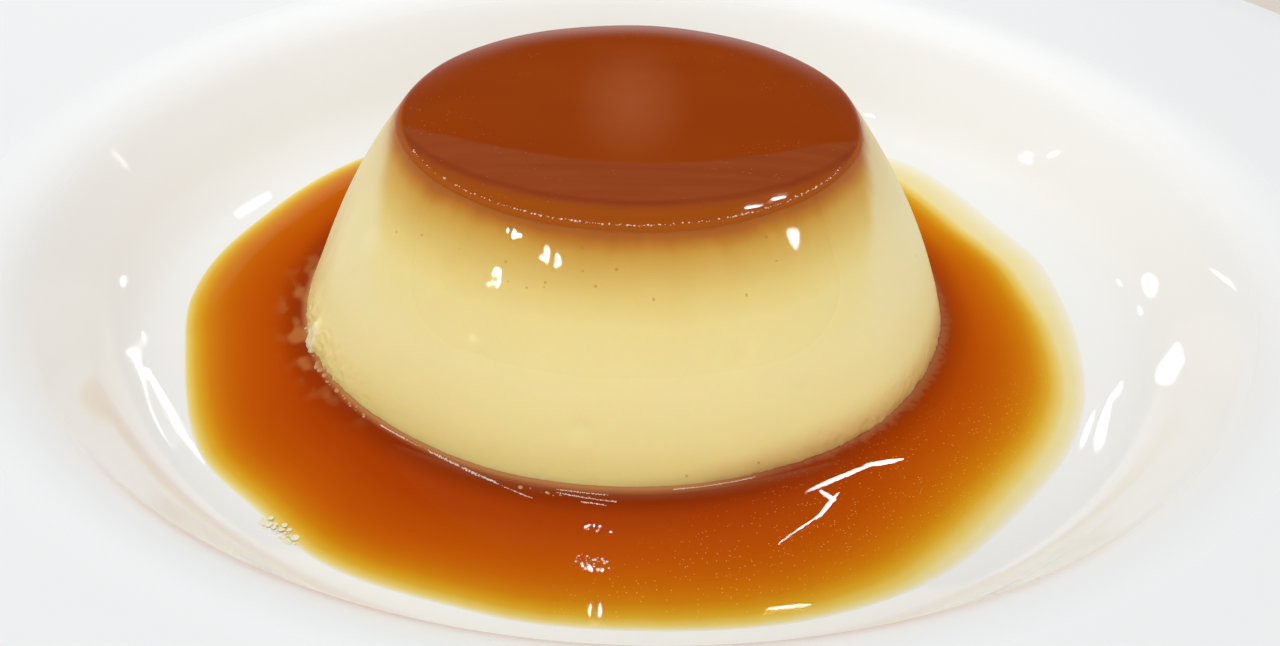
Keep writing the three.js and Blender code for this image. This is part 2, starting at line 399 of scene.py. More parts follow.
def bezier(start, middle, end, steps):
    """Points of a quadratic curve after its start."""
    share = np.linspace(0, 1, steps + 1)[1:, None]
    start, middle, end = (np.array(p, float) for p in (start, middle, end))
    return (1 - share) ** 2 * start + 2 * share * (1 - share) * middle + share**2 * end


def line(start, end, steps):
    share = np.linspace(0, 1, steps + 1)[1:, None]
    return (1 - share) * np.array(start, float) + share * np.array(end, float)


def smoothstep(value, low, high):
    share = np.clip((value - low) / (high - low), 0, 1)
    return share * share * (3 - 2 * share)


def degrees_from(angle, middle):
    """How far an angle is from a middle, from -180 to 180 degrees."""
    return (np.degrees(angle) - middle + 180) % 360 - 180


def zone(angle, middle_and_spread):
    """1 at the middle of a stretch round the dish and 0 beyond its spread, both in degrees."""
    middle, spread = middle_and_spread
    away = degrees_from(angle, middle)
    return np.where(np.abs(away) < spread, 0.5 + 0.5 * np.cos(np.pi * away / spread), 0)


def sum_of_waves(waves, angle, height):
    return sum(
        depth * np.sin(turns * angle + slant * height + phase) for depth, turns, slant, phase in waves
    )


def side_radius(height):
    """Radius of the flan's side before its unevenness. It narrows ever faster towards the top."""
    share = (height - SAUCE_LEVEL) / FLAN_RISE
    narrowing = STRAIGHT_SHARE * share + (1 - STRAIGHT_SHARE) * share * np.abs(share)
    return FLAN_RADIUS_AT_SAUCE - (FLAN_RADIUS_AT_SAUCE - FLAN_TOP_RADIUS) * narrowing


def crumbled_share(angle):
    return zone(angle, CRUMBLED_LEFT) + CRUMBLED_RIGHT_SHARE * zone(angle, CRUMBLED_RIGHT)


def curd_share(angle, height):
    """How crumbly the custard is at a place of its side: most at the foot, left and right."""
    near_foot = smoothstep(SAUCE_LEVEL + CURD_BAND_HEIGHT - height, 0, CURD_BAND_HEIGHT)
    return near_foot * (CURD_SHARE_ALL_ROUND + (1 - CURD_SHARE_ALL_ROUND) * crumbled_share(angle))


def side_relief(angle, height):
    """How far the side stands out or in, its curds left out."""
    return sum_of_waves(SIDE_WAVES, angle, height) + CURD_SWELL * curd_share(angle, height)


def noise_at(points, size):
    """Noise with features about `size` across, at each of an array of points."""
    values = [noise.noise(Vector(point) / size) for point in points.reshape(-1, 3)]
    return np.reshape(values, points.shape[:-1])


def lumps(points, sizes):
    """Rounded lumps at points of a surface, as a sum of noises of (size, depth)."""
    return sum(depth * (1 - LUMP_SHARPNESS * np.abs(noise_at(points, size))) for size, depth in sizes)


def dents(angle, height):
    """Shallow hollows in the side, each at (angle, height)."""
    depth = 0
    for dent_angle, dent_height in DENTS:
        across = np.radians(degrees_from(angle, dent_angle)) * side_radius(dent_height)
        away = np.hypot(across, (height - dent_height) * DENT_FLATTENING) / DENT_WIDTH
        depth = depth + DENT_DEPTH * np.exp(-2 * away * away)
    return depth


def flake(angle, height):
    """A torn flake of custard that stands out of the side, low on the left."""
    flake_angle, flake_height = FLAKE
    wide, tall, thick = FLAKE_SIZE
    across = np.radians(degrees_from(angle, flake_angle)) * FLAN_RADIUS_AT_SAUCE
    away = (across / wide) ** 2 + ((height - flake_height) / tall) ** 2
    return thick * smoothstep(-away, *FLAKE_SLOPE)


def flan_radius(angle, height):
    return side_radius(height) + side_relief(angle, height)


def crown_height(radius):
    """Height of the caramel's top: level in the middle, falling along a parabola to the edge."""
    start = CROWN_START_SHARE * FLAN_TOP_RADIUS
    share = np.maximum(0, radius - start) / (FLAN_TOP_RADIUS - start)
    return CARAMEL_EDGE + CARAMEL_CROWN * (1 - share * share)


def pool_radius(angle):
    shifted = POOL_RADIUS + POOL_SHIFT[0] * np.cos(angle) + POOL_SHIFT[1] * np.sin(angle)
    bulges = sum(depth * zone(angle, (middle, spread)) for middle, spread, depth in POOL_BULGES)
    return shifted + sum_of_waves(POOL_LOBES, angle, 0) + bulges


def plate_upper_side():
    flat_edge = (FLAT_FLOOR_RADIUS, FLOOR_TOP)
    return np.concatenate([
        [(0, FLOOR_TOP)],
        line((0, FLOOR_TOP), flat_edge, 4),
        bezier(flat_edge, FLOOR_EASE, WALL_FOOT, ARC_STEPS),
        bezier(WALL_FOOT, WALL_FOOT_EASE, WALL_START, ARC_STEPS),
        line(WALL_START, WALL_END, 2),
        bezier(WALL_END, WELL_EDGE, RIM_START, ARC_STEPS),
        line(RIM_START, (PLATE_RADIUS - LIP_HEIGHT / 2, RIM_TOP), 6),
    ])


UPPER_SIDE = plate_upper_side()


def plate_outline():
    lip_top = (PLATE_RADIUS - LIP_HEIGHT / 2, RIM_TOP)
    lip_middle = (PLATE_RADIUS, RIM_TOP - LIP_HEIGHT / 2)
    lip_bottom = (PLATE_RADIUS - LIP_HEIGHT, RIM_TOP - LIP_HEIGHT)
    upper_bends = (RIM_START, WELL_EDGE, WALL_END, WALL_START, WALL_FOOT)
    under_bends = [(x + UNDERSIDE_OUT, z - UNDERSIDE_DOWN) for x, z in upper_bends]
    rim, edge, wall_end, wall_start, foot = under_bends
    chamfer_width, chamfer_height = FOOT_CHAMFER
    foot_ring = [
        (FOOT_OUTER_RADIUS, chamfer_height), (FOOT_OUTER_RADIUS - chamfer_width, 0),
        (FOOT_INNER_RADIUS + chamfer_width, 0), (FOOT_INNER_RADIUS, chamfer_height),
        (FOOT_INNER_RADIUS - FOOT_TAPER, FLOOR_UNDERSIDE), (0, FLOOR_UNDERSIDE),
    ]
    return np.concatenate([
        UPPER_SIDE,
        bezier(lip_top, (PLATE_RADIUS, RIM_TOP), lip_middle, ARC_STEPS // 2),
        bezier(lip_middle, (PLATE_RADIUS, RIM_TOP - LIP_HEIGHT), lip_bottom, ARC_STEPS // 2),
        line(lip_bottom, rim, 3),
        bezier(rim, edge, wall_end, ARC_STEPS // 2),
        line(wall_end, wall_start, 1),
        bezier(wall_start, foot, (FOOT_OUTER_RADIUS + FOOT_TAPER, FLOOR_UNDERSIDE), ARC_STEPS // 2),
        foot_ring,
    ])


def plate_height(radius):
    return np.interp(radius, UPPER_SIDE[:, 0], UPPER_SIDE[:, 1])


def polar(angle, radius, height):
    return np.stack(np.broadcast_arrays(radius * np.cos(angle), radius * np.sin(angle), height), -1)


def grid_faces(rows, sides, wrap_rows):
    """Four-sided faces between rings of points, each ring closed on itself."""
    row = np.arange(rows if wrap_rows else rows - 1)[:, None]
    side = np.arange(sides)[None, :]
    next_row = (row + 1) % rows
    next_side = (side + 1) % sides
    corners = [
        row * sides + side, row * sides + next_side,
        next_row * sides + next_side, next_row * sides + side,
    ]
    return np.stack(np.broadcast_arrays(*corners), -1).reshape(-1, 4)


def mesh_object(name, points, faces, caps=()):
    """A mesh of points in millimetres. Each cap is its middle point and the points round it."""
    loops = [faces.reshape(-1)]
    starts = list(range(0, faces.size, 4))
    total = faces.size
    for middle, ring in caps:
        following = np.roll(ring, -1)
        triangles = np.stack([np.full(len(ring), middle), ring, following], -1).reshape(-1)
        loops.append(triangles)
        starts += list(range(total, total + triangles.size, 3))
        total += triangles.size
    mesh = bpy.data.meshes.new(name)
    mesh.vertices.add(len(points))
    mesh.vertices.foreach_set("co", (points * MM).astype(np.float32).reshape(-1))
    mesh.loops.add(total)
    mesh.loops.foreach_set("vertex_index", np.concatenate(loops).astype(np.int32))
    mesh.polygons.add(len(starts))
    mesh.polygons.foreach_set("loop_start", np.array(starts, np.int32))
    mesh.update(calc_edges=True)
    mesh.validate()
    mesh.shade_smooth()
    obj = bpy.data.objects.new(name, mesh)
    bpy.context.scene.collection.objects.link(obj)
    return obj


def point_attribute(obj, name, values):
    attribute = obj.data.attributes.new(name, "FLOAT", "POINT")
    attribute.data.foreach_set("value", np.asarray(values, np.float32).reshape(-1))


def path_object(name, points):
    """A line of edges through points in millimetres, for a geometry tree to follow."""
    mesh = bpy.data.meshes.new(name)
    edges = [(index, index + 1) for index in range(len(points) - 1)]
    mesh.from_pydata([tuple(point) for point in np.asarray(points, float) * MM], edges, [])
    obj = bpy.data.objects.new(name, mesh)
    bpy.context.scene.collection.objects.link(obj)
    return obj


def grown(obj, group, sizes):
    """Runs a geometry tree on the object and keeps what it makes as the object's plain mesh."""
    modifier = obj.modifiers.new(group.name, "NODES")
    modifier.node_group = group
    for item in group.interface.items_tree:
        if item.in_out == "INPUT" and item.name in sizes:
            modifier[item.identifier] = sizes[item.name]
    evaluated = obj.evaluated_get(bpy.context.evaluated_depsgraph_get())
    mesh = bpy.data.meshes.new_from_object(evaluated)
    obj.modifiers.remove(modifier)
    obj.data = mesh
    return obj


def dress(obj, material):
    obj.data.materials.clear()
    obj.data.materials.append(material)
    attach(obj, "root")
    return obj


# ---------------------------------------------------------------- pieces


def turning_tree(material):
    """Turns an outline, given as a row of points beside the Z axis, into a closed body round that axis."""
    sizes = [("Outline Points", "Int"), ("Sides", "Int"), ("Merge Distance", "Float")]
    group, tree, outline = geometry_tree("turned_on_a_wheel", sizes)
    points = outline.output("Outline Points")
    sides = outline.output("Sides")
    grid_inputs = {"Vertices X": points, "Vertices Y": sides + 1}
    grid = tree.node("GeometryNodeMeshGrid", None, grid_inputs, "Mesh")
    index = tree.node("GeometryNodeInputIndex")
    row = ((index + 0.5) / (sides + 1)).function("FLOOR")
    turn = (index - row * (sides + 1)) / sides * (2 * math.pi)
    position = tree.node("GeometryNodeInputPosition")
    sample = {"Geometry": outline, "Index": row, "Value": position}
    place = tree.node("GeometryNodeSampleIndex", {"data_type": "FLOAT_VECTOR"}, sample)
    radius = tree.axis(place, "X")
    turned_inputs = {
        0: radius * turn.function("COSINE"),
        1: radius * turn.function("SINE"),
        2: radius.output("Z"),
    }
    turned = tree.node("ShaderNodeCombineXYZ", None, turned_inputs)
    body = tree.node("GeometryNodeSetPosition", None, {"Geometry": grid, "Position": turned})
    merging = {0: body, "Distance": outline.output("Merge Distance")}
    closed = tree.node("GeometryNodeMergeByDistance", None, merging)
    facing_out = tree.node("GeometryNodeFlipFaces", None, {0: closed})
    smooth = tree.node("GeometryNodeSetShadeSmooth", None, {0: facing_out})
    plain = tree.node("GeometryNodeRealizeInstances", None, {0: smooth})
    finished = tree.node("GeometryNodeSetMaterial", None, {0: plain, "Material": material})
    tree.node("NodeGroupOutput", None, {0: finished})
    return group


def make_plate(material):
    outline = plate_outline()
    points = np.stack([outline[:, 0], np.zeros(len(outline)), outline[:, 1]], -1)
    sizes = {"Outline Points": len(outline), "Sides": PLATE_SIDES, "Merge Distance": 0.01 * MM}
    return grown(path_object("glazed_plate", points), turning_tree(material), sizes)


def flan_body(name, outline, relief, bottom, top):
    """A closed body round the flan's axis.

    The outline is rows of radius and height, and the relief how far each place of them stands out.
    """
    radius, height = outline[:, :1], outline[:, 1:]
    share = radius / side_radius(height)
    rings = polar(ALL_ROUND, radius + share * relief, height)
    points = np.concatenate([rings.reshape(-1, 3), [[0, 0, bottom], [0, 0, top]]]) + FLAN_MIDDLE
    ring = np.arange(ROUND_SIDES)
    top_ring = ring + (len(outline) - 1) * ROUND_SIDES
    caps = [(len(points) - 2, ring[::-1]), (len(points) - 1, top_ring)]
    obj = mesh_object(name, points, grid_faces(len(outline), ROUND_SIDES, False), caps)
    obj.data.set_sharp_from_angle(angle=SHARP_ANGLE)
    return obj


def make_custard():
    foot = side_radius(FLOOR_TOP)
    base = (foot - BASE_ROUNDING, FLOOR_TOP)
    rounding_end = FLOOR_TOP + BASE_ROUNDING
    heights = np.linspace(rounding_end, CUSTARD_TOP, CUSTARD_ROWS + 1)[1:]
    outline = np.concatenate([
        [base],
        bezier(base, (foot, FLOOR_TOP), (side_radius(rounding_end), rounding_end), BASE_ROUNDING_ROWS),
        np.stack([side_radius(heights), heights], -1),
    ])
    radius, height = outline[:, :1], outline[:, 1:]
    waves = side_relief(ALL_ROUND, height)
    smooth_side = polar(ALL_ROUND, radius + radius / side_radius(height) * waves, height)
    crumbly = curd_share(ALL_ROUND, height)
    torn = flake(ALL_ROUND, height)
    relief = waves + lumps(smooth_side, CURD_SIZES) * crumbly - dents(ALL_ROUND, height) + torn
    obj = flan_body("set_custard", outline, relief, FLOOR_TOP, CUSTARD_TOP)
    point_attribute(obj, "crumbly", np.append(crumbly, [0, 0]))
    point_attribute(obj, "torn", np.append(torn, [0, 0]))
    return obj


def make_caramel():
    sunk = np.linspace(CARAMEL_BOTTOM, CUSTARD_TOP - CARAMEL_OVERLAP, CARAMEL_SUNK_ROWS)
    shoulder_height = CARAMEL_EDGE - EDGE_ROUNDING
    shoulder = (side_radius(shoulder_height), shoulder_height)
    rounding_end = FLAN_TOP_RADIUS - 2 * EDGE_ROUNDING
    crown_start = CROWN_START_SHARE * FLAN_TOP_RADIUS
    sloping = np.linspace(rounding_end, crown_start, CROWN_SLOPE_ROWS)[1:]
    level = np.linspace(crown_start, 0, CROWN_LEVEL_ROWS)[1:-1]
    inward = np.concatenate([sloping, level])
    corner = (FLAN_TOP_RADIUS, CARAMEL_EDGE)
    outline = np.concatenate([
        np.stack([side_radius(sunk) - CARAMEL_INSET, sunk], -1),
        [(side_radius(CUSTARD_TOP), CUSTARD_TOP), shoulder],
        bezier(shoulder, corner, (rounding_end, crown_height(rounding_end)), EDGE_ROUNDING_ROWS),
        np.stack([inward, crown_height(inward)], -1),
    ])
    relief = side_relief(ALL_ROUND, outline[:, 1:])
    return flan_body("caramel_layer", outline, relief, CARAMEL_BOTTOM, crown_height(0))


def sauce_height(angle, from_flan, to_edge, tip):
    climb = SAUCE_CLIMB * np.exp(-from_flan / SAUCE_CLIMB_REACH)
    reach = TAPER_REACH + FILM_EXTRA_REACH * zone(angle, FILM_SIDE)
    thinning = 1 - smoothstep(to_edge, 0, reach)
    return SAUCE_LEVEL + climb - (SAUCE_LEVEL - tip) * thinning


def sauce_level(x, y):
    """Height of the sauce's surface at a place."""
    turn = math.atan2(y, x)
    flan_turn = math.atan2(y - FLAN_Y, x - FLAN_X)
    from_flan = math.hypot(x - FLAN_X, y - FLAN_Y) - flan_radius(flan_turn, SAUCE_LEVEL)
    edge = pool_radius(turn)
    to_edge = edge - math.hypot(x, y)
    return float(sauce_height(turn, max(from_flan, 0), to_edge, plate_height(edge) + SAUCE_TIP))


def sauce_rows(shares, flan_height):
    """Level points at shares of the way from inside the flan's foot to the pool's edge."""
    inner = polar(ALL_ROUND, flan_radius(ALL_ROUND, flan_height) - SAUCE_INSET, 0) + FLAN_MIDDLE
    outer = polar(ALL_ROUND, pool_radius(ALL_ROUND), 0)
    share = np.array(shares)[:, None, None]
    return (1 - share) * inner + share * outer


def sauce_rings():
    """The surface from the flan to the pool's edge and the underside back again."""
    near_flan = np.linspace(0, OPEN_SAUCE[0], NEAR_FLAN_ROWS)
    open_sauce = np.linspace(*OPEN_SAUCE, OPEN_SAUCE_ROWS)[1:]
    near_edge = 1 - (1 - OPEN_SAUCE[1]) * np.linspace(1, 0, NEAR_EDGE_ROWS)[1:] ** EDGE_CROWDING
    top = sauce_rows(np.concatenate([near_flan, open_sauce, near_edge]), SAUCE_LEVEL)
    inner, outer = top[0].copy(), top[-1].copy()
    from_flan = np.maximum(np.linalg.norm(top - inner, axis=-1) - SAUCE_INSET, 0)
    to_edge = np.linalg.norm(top - outer, axis=-1)
    tip = plate_height(np.linalg.norm(outer, axis=-1)) + SAUCE_TIP
    top[..., 2] = sauce_height(ALL_ROUND, from_flan, to_edge, tip)
    bottom = sauce_rows(UNDERSIDE_ROWS, FLOOR_TOP)
    bottom[..., 2] = plate_height(np.linalg.norm(bottom, axis=-1)) - SAUCE_SUNK
    return np.concatenate([top, bottom])


def syrup_depth(angle, edge):
    """How deep the syrup looks at a distance from the pool's edge, which sets its colour.

    It is the distance itself where the pool has no film, and less in a film and for a way past it.
    """
    width = sum(widest * zone(angle, (middle, spread)) for middle, spread, widest in FILM_WIDTHS)
    film_share = np.clip(width / FULL_FILM_WIDTH, 0, 1)
    in_film = FILM_DEPTH * np.clip(edge / np.maximum(width, LEAST_FILM_WIDTH), 0, 1) ** FILM_SLOPE
    steps, depths = np.transpose(BEYOND_FILM)
    beyond = edge - width
    filmed = in_film + np.interp(beyond, steps, depths) + np.maximum(beyond - steps[-1], 0)
    depth = edge + (filmed - edge) * film_share
    depth += STEEP_EDGE_LEAD * zone(angle, STEEP_EDGE) * np.clip(edge / STEEP_EDGE_LEAD, 0, 1)
    places = [STREAKS_ROUND * np.cos(angle), STREAKS_ROUND * np.sin(angle), edge / STREAK_LENGTH]
    streak_depth = STREAK_DEPTH + (STREAK_DEPTH_IN_FILM - STREAK_DEPTH) * film_share
    depth += noise_at(np.stack(places, -1), 1) * streak_depth * np.clip(edge, 0, STREAK_REACH)
    depth += DEEP_EXTRA * zone(angle, DEEP_SIDE) * smoothstep(edge, *DEEP_RANGE)
    return np.maximum(depth, 0)


def sunk_crumbs(points, angle, from_side):
    """How much custard shows through the sauce as crumbs, at the left."""
    coarse, fine = (noise_at(points * SUNK_CRUMB_SQUASH, size) for size in SUNK_CRUMB_SIZES)
    left = zone(angle, SUNK_LEFT) ** 0.5 * smoothstep(SUNK_LEFT_REACH - from_side, 0, SUNK_LEFT_FADING)
    return np.clip(left * smoothstep(coarse + SUNK_CRUMB_DETAIL * fine, *SUNK_CRUMB_EDGE), 0, 1)


def torn_foot(angle, from_side):
    """Where the flan's torn foot shows through the sauce, at its right."""
    near_side = smoothstep(SUNK_RIGHT_REACH - from_side, 0, SUNK_RIGHT_FADING)
    return zone(angle, SUNK_RIGHT) ** 0.6 * near_side


def make_sauce():
    rings = sauce_rings()
    faces = grid_faces(len(rings), ROUND_SIDES, True)[:, ::-1]
    obj = mesh_object("sauce_pool", rings.reshape(-1, 3), faces)
    obj.data.set_sharp_from_angle(angle=SHARP_ANGLE)

    plate_angle = np.arctan2(rings[..., 1], rings[..., 0])
    edge = pool_radius(plate_angle) - np.hypot(rings[..., 0], rings[..., 1])
    across = rings - FLAN_MIDDLE
    flan_angle = np.arctan2(across[..., 1], across[..., 0])
    from_side = np.hypot(across[..., 0], across[..., 1]) - flan_radius(flan_angle, SAUCE_LEVEL)
    point_attribute(obj, "depth", syrup_depth(plate_angle, edge))
    point_attribute(obj, "from_flan", from_side)
    point_attribute(obj, "sunk_crumbs", sunk_crumbs(rings, flan_angle, from_side))
    point_attribute(obj, "torn_foot", torn_foot(flan_angle, from_side))
    return obj


def grains_tree(material):
    """Uneven rounded grains strewn along a path, small ones the most."""
    sizes = [
        ("Count", "Int"), ("Smallest", "Float"), ("Largest", "Float"), ("Scatter", "Vector"),
        ("Flatness", "Float"), ("Unevenness", "Float"), ("Lump Size", "Float"),
        ("Fineness", "Int"), ("Seed", "Int"),
    ]
    group, tree, path = geometry_tree("grains_on_a_path", sizes)
    seed = path.output("Seed")
    curve = tree.node("GeometryNodeMeshToCurve", None, {0: path})
    along = {"Curve": curve, "Count": path.output("Count")}
    points = tree.node("GeometryNodeCurveToPoints", {"mode": "COUNT"}, along, "Points")
    either_way = {0: (-1, -1, -1), 1: (1, 1, 1), "Seed": seed}
    aside = tree.node("FunctionNodeRandomValue", {"data_type": "FLOAT_VECTOR"}, either_way, 0)
    offset = tree.vector("MULTIPLY", aside, path.output("Scatter"))
    strewn = tree.node("GeometryNodeSetPosition", None, {"Geometry": points, "Offset": offset})
    chance = tree.random(0.0, 1.0, seed + 1)
    smallest = path.output("Smallest")
    size = smallest + chance**3 * (path.output("Largest") - smallest)
    height = size * (1 - path.output("Flatness"))
    width = size * (GRAIN_LEAST_WIDTH + (1 - GRAIN_LEAST_WIDTH) * chance)
    shape = tree.node("ShaderNodeCombineXYZ", None, {0: size, 1: width, 2: height})
    turn = tree.random(0.0, GRAIN_TURN_RANGE, seed + 2)
    turned = tree.node("ShaderNodeCombineXYZ", None, {2: turn})
    ball = {"Radius": 1.0, "Subdivisions": path.output("Fineness")}
    grain = tree.node("GeometryNodeMeshIcoSphere", None, ball, "Mesh")
    laid = {"Points": strewn, "Instance": grain, "Rotation": turned, "Scale": shape}
    grains = tree.node("GeometryNodeInstanceOnPoints", None, laid)
    plain = tree.node("GeometryNodeRealizeInstances", None, {0: grains})
    position = tree.node("GeometryNodeInputPosition")
    lumpy = {"Vector": position, "Scale": 1 / path.output("Lump Size"), "Detail": 1.0}
    bulge = (tree.node("ShaderNodeTexNoise", None, lumpy) - 0.5) * path.output("Unevenness")
    normal = tree.node("GeometryNodeInputNormal")
    scaling = {0: normal, "Scale": bulge}
    outward = tree.node("ShaderNodeVectorMath", {"operation": "SCALE"}, scaling, "Vector")
    uneven = tree.node("GeometryNodeSetPosition", None, {"Geometry": plain, "Offset": outward})
    smooth = tree.node("GeometryNodeSetShadeSmooth", None, {0: uneven})
    finished = tree.node("GeometryNodeSetMaterial", None, {0: smooth, "Material": material})
    tree.node("NodeGroupOutput", None, {0: finished})
    return group


def joined(pieces):
    """Joins meshes into the first of them."""
    with bpy.context.temp_override(active_object=pieces[0], selected_editable_objects=pieces):
        bpy.ops.object.join()
    return pieces[0]


def strewn(name, rows, material, fineness):
    """Grains along arcs round the flan, each row of them as the lists above give it."""
    group = grains_tree(material)
    pieces = []
    for seed, (first, last, start, end, height, count, *grain) in enumerate(rows):
        smallest, largest, scatter, flatness, unevenness = grain
        angle = np.radians(np.linspace(first, last, GRAIN_PATH_POINTS))
        arc = polar(angle, np.linspace(start, end, GRAIN_PATH_POINTS), height) + FLAN_MIDDLE
        sizes = {
            "Count": count, "Smallest": smallest * MM, "Largest": largest * MM,
            "Scatter": [side * MM for side in scatter], "Flatness": flatness,
            "Unevenness": unevenness * MM, "Lump Size": GRAIN_LUMP_SIZE * MM, "Fineness": fineness,
            "Seed": 10 * seed,
        }
        pieces.append(grown(path_object(name, arc), group, sizes))
    return joined(pieces)


# ---------------------------------------------------------------- finishes

# A range is the value where something starts and where it is whole, or those two and what it has there

LEVEL_MM = (1 / MM, 1 / MM, 0)

GLAZE_ROUGHNESS = 0.07
WELL_EDGE_DULLNESS = 0.25
GLAZE_TINTS = ((0.895, 0.908, 0.914, 1), (0.91, 0.922, 0.928, 1))
WELL_EDGE_BAND = (75, 78.5, 84, 90)


def porcelain():
    """White glaze, a little duller where it bends over the well's edge."""
    material, tree = new_material("porcelain_glaze")
    place = tree.place()
    radius = tree.vector("LENGTH", tree.vector("MULTIPLY", place, LEVEL_MM), output="Value")
    tree.surface({
        "Base Color": tree.mix(tree.noise(place, 60), *GLAZE_TINTS),
        "Roughness": GLAZE_ROUGHNESS + tree.band(radius, *WELL_EDGE_BAND) * WELL_EDGE_DULLNESS,
        "Specular IOR Level": 0.36,
        "Normal": tree.bump(tree.noise(place, 9), 0.008),
    })
    return material


# The custard's colour by the distance below the caramel's edge
STAIN = [
    (0.2, (170, 87, 10)), (1.05, (182, 103, 16)), (1.7, (195, 128, 30)), (2.6, (208, 159, 62)),
    (3.5, (216, 173, 80)), (4.9, (223, 190, 103)), (6.8, (233, 208, 126)), (9.7, (240, 223, 153)),
    (16, (243, 229, 167)), (22, (245, 231, 163)), (26, (245, 224, 146)),
]
STAIN_UNEVENNESS = 1.2
# Painted sheen: the custard's left and right sides are paler, standing in for the room mirrored in them.
PAINTED_SHEEN_CUSTARD = srgb(240, 229, 184)
PAINTED_SHEEN_SHARE = 0.6
PAINTED_SHEEN_UNEVENNESS = 2
PAINTED_SHEEN_LEFT = (-32, -29, 1, 0)
PAINTED_SHEEN_RIGHT = (28.5, 31)
PAINTED_SHEEN_HEIGHTS = (15, 31)
NOT_AT_THE_BACK = (0.2, 0.7, 1, 0)
LEFT_BAND = srgb(218, 184, 112)
LEFT_BAND_SHARE = 0.5
LEFT_BAND_UNEVENNESS = 0.1
LEFT_BAND_SIDES = (-1, -0.93, 1, 0)
LEFT_BAND_HEIGHTS = (33, 22)
SOAKED_CUSTARD = srgb(196, 126, 52)
SOAKED_FROM = 10.4
SOAKED_UNEVENNESS = 0.8
SOAKED_FADING = 1.6
SOAKED_UP_TO = (-0.2, 0.7, 12.1, 15.8)
SOAKED_SHARE = (-0.2, 0.5, 0.25, 1)
AIR_HOLE = srgb(176, 108, 30)
AIR_HOLE_SPACING = 2.1
AIR_HOLE_SIZE = (0.06, 0.12, 1, 0)
AIR_HOLE_RARITY = (4, 9, 0.45, 0.9)
AIR_HOLE_STRENGTH = 0.45
TORN_CUSTARD = srgb(245, 235, 192)
TORN_RANGE = (0.2, 0.6)


def custard_color(tree, place):
    """Stained from the caramel down, with a painted sheen paler left and right, soaked at the foot, with
    air holes.
    """
    height = tree.axis(place, "Z") / MM
    wobble = tree.noise(tree.stretched(place, (1, 1, 0.35)), 5, 3)
    below = CARAMEL_EDGE - height + (wobble - 0.5) * STAIN_UNEVENNESS
    stained = tree.graded(below, STAIN)

    across = tree.vector("SUBTRACT", place, FLAN_FOOT)
    outward = tree.vector("NORMALIZE", tree.vector("MULTIPLY", across, (1, 1, 0)))
    sideways = tree.axis(outward, "X")
    toward_back = sideways.output("Y")
    rightward = tree.axis(across, "X") / MM + (wobble - 0.5) * PAINTED_SHEEN_UNEVENNESS

    # Painted sheen, paler left and right, not at the back and only on the upper side.
    painted_sheen = tree.between(rightward, *PAINTED_SHEEN_LEFT) + tree.between(rightward, *PAINTED_SHEEN_RIGHT)
    painted_sheen = painted_sheen * tree.between(toward_back, *NOT_AT_THE_BACK) * tree.between(height, *PAINTED_SHEEN_HEIGHTS)
    with_painted_sheen = tree.mix(painted_sheen * PAINTED_SHEEN_SHARE, stained, PAINTED_SHEEN_CUSTARD)
    at_left = tree.between(sideways + (wobble - 0.5) * LEFT_BAND_UNEVENNESS, *LEFT_BAND_SIDES)
    left_band = at_left * tree.between(height, *LEFT_BAND_HEIGHTS) * LEFT_BAND_SHARE
    banded = tree.mix(left_band, with_painted_sheen, LEFT_BAND)

    soaked_height = tree.between(sideways, *SOAKED_UP_TO) - SOAKED_FROM
    dry = (height + wobble * SOAKED_UNEVENNESS - SOAKED_FROM).share_of(soaked_height)
    soaked = (1 - dry) ** SOAKED_FADING * tree.between(sideways, *SOAKED_SHARE)
    footed = tree.mix(soaked, banded, SOAKED_CUSTARD)

    cells = tree.cells(place, AIR_HOLE_SPACING)
    chosen = tree.chance(cells) > tree.between(below, *AIR_HOLE_RARITY)
    holes = tree.between(cells, *AIR_HOLE_SIZE) * chosen * AIR_HOLE_STRENGTH
    specked = tree.mix(holes, footed, AIR_HOLE)
    return tree.mix(tree.between(tree.attribute("torn"), *TORN_RANGE), specked, TORN_CUSTARD)


WET_HEIGHTS = (14, 29)
GRAZING_ANGLES = (0.15, 0.6)
DRY_ROUGHNESS = 0.42
WET_ROUGHNESS = 0.06
CUSTARD_GLOW = (1.0, 0.6, 0.25)


def custard():
    """Moist and softly glossy, the most where it is seen squarely and high on the side."""
    material, tree = new_material("set_custard")
    place = tree.place()
    grazing = tree.node("ShaderNodeLayerWeight", None, {"Blend": 0.5}, "Facing")
    squarely = 1 - tree.between(grazing, *GRAZING_ANGLES)
    wet = (squarely * tree.between(tree.axis(place, "Z") / MM, *WET_HEIGHTS)) ** 2
    skin = tree.bump(tree.noise(place, 0.4), 0.004)
    curds = tree.noise(place, 0.8, 3) * tree.attribute("crumbly")
    tree.surface({
        "Base Color": custard_color(tree, place),
        "Roughness": DRY_ROUGHNESS - wet * (DRY_ROUGHNESS - WET_ROUGHNESS),
        "Subsurface Weight": 0.6,
        "Subsurface Radius": CUSTARD_GLOW,
        "Subsurface Scale": 0.003,
        "Specular IOR Level": 0.25,
        "Normal": tree.bump(curds, 0.3, under=skin),
    })
    return material


DARK_CARAMEL = (srgb(143, 54, 3), srgb(152, 62, 4))
